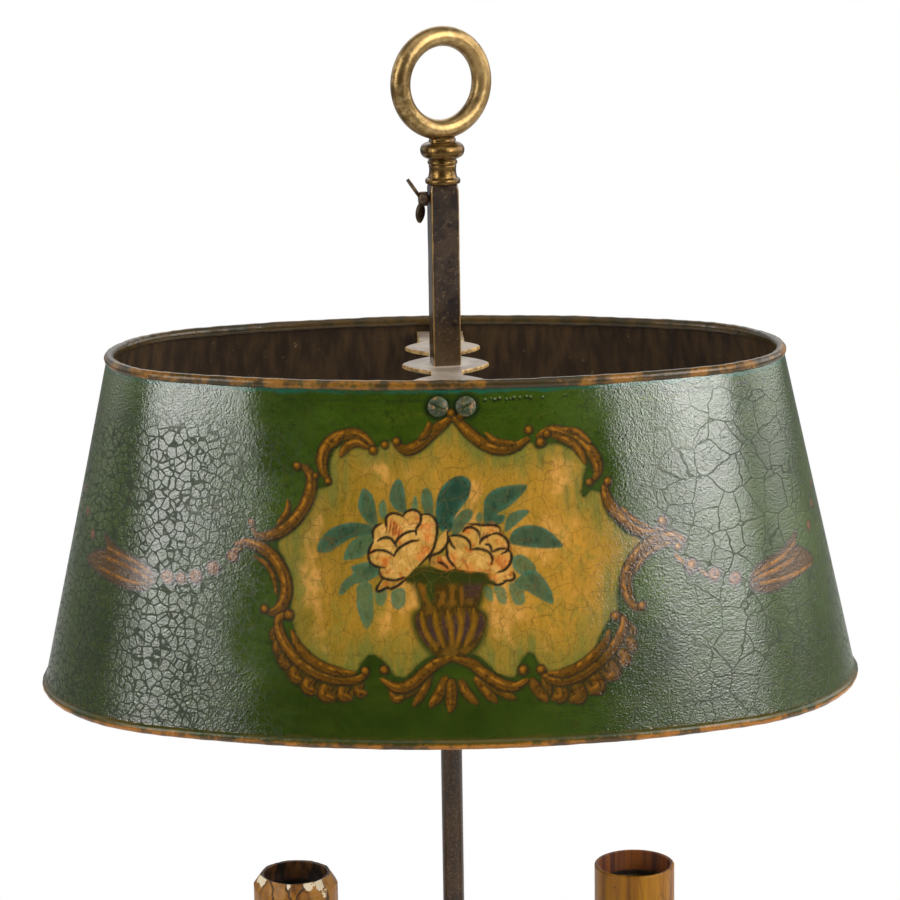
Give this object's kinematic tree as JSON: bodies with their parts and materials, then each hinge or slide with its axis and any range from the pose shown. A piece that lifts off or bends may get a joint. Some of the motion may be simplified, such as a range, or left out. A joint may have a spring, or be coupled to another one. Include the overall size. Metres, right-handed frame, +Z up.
{
  "type": "bouillotte lamp",
  "caption": "Table lamp with an oval painted metal shade that slides and turns on a round rod over candle-style lampholders on scroll arms, with a weighted dish base.",
  "frame": {"origin": "on the table under the rod, at the middle of the base", "axes": "+Z up along the rod, X along the arms and the long axis of the shade, -Y to the front, where the painted cartouche is"},
  "size_m": [0.38, 0.228, 0.7017],
  "materials": {
    "brass": "aged, rubbed, slightly dull",
    "aged_brass": "dark brown patina worn to metal on the edges",
    "steel": "plain, dull",
    "iron": "bare",
    "felt": "felt",
    "insulator": "dark moulded",
    "lead": "sheathed wire",
    "candle_wood": "amber stained, worn, cracked",
    "tinned_plate": "pale worn plate",
    "painted_tole": "glossy green with craquelure and painted ornament, gilt rims"
  },
  "bodies": {
    "stand": {"felt_pad": "felt", "bottom_plate": "steel", "base_weight": "iron", "base_dish": "brass", "base_rim": "brass", "cord_inlet": "insulator", "terminal_block": "insulator", "clamp_bar": "steel", "base_nut": "steel", "column": "brass", "hub": "brass", "hub_knop": "brass", "rod": "aged_brass", "arm_left": "brass", "arm_right": "brass", "cup_left": "brass", "cup_right": "brass", "pan_left": "brass", "pan_right": "brass", "stem_left": "steel", "stem_right": "steel", "stem_nuts": "steel", "lead_left": "lead", "lead_right": "lead", "lampholder_left": "insulator", "lampholder_right": "insulator", "shell_left": "brass", "shell_right": "brass", "contact_left": "brass", "contact_right": "brass", "candle_sleeve_left": "candle_wood", "candle_sleeve_right": "candle_wood", "finial_collar": "brass", "finial_ring": "brass"},
    "liner": {"guide_liner": "brass"},
    "carriage": {"shade_sleeve": "aged_brass", "bridge": "tinned_plate", "bridge_screws": "aged_brass", "shade": "painted_tole", "top_wire": "iron", "bottom_wire": "iron"},
    "key": {"wing_screw": "aged_brass"}
  },
  "joints": [
    {"name": "shade_slide", "type": "slide", "parent": "stand", "child": "liner", "axis": [0, 0, 1], "range_m": [-0.1, 0]},
    {"name": "shade_swivel", "type": "hinge", "parent": "liner", "child": "carriage", "pos_m": [0, 0, 0.5482], "axis": [0, 0, 1], "continuous": true},
    {"name": "key_turn", "type": "hinge", "parent": "carriage", "child": "key", "pos_m": [-0.00641, -0.0011, 0.6243], "axis": [-0.9856, -0.1693, 0], "range_deg": [0, 360]}
  ]
}
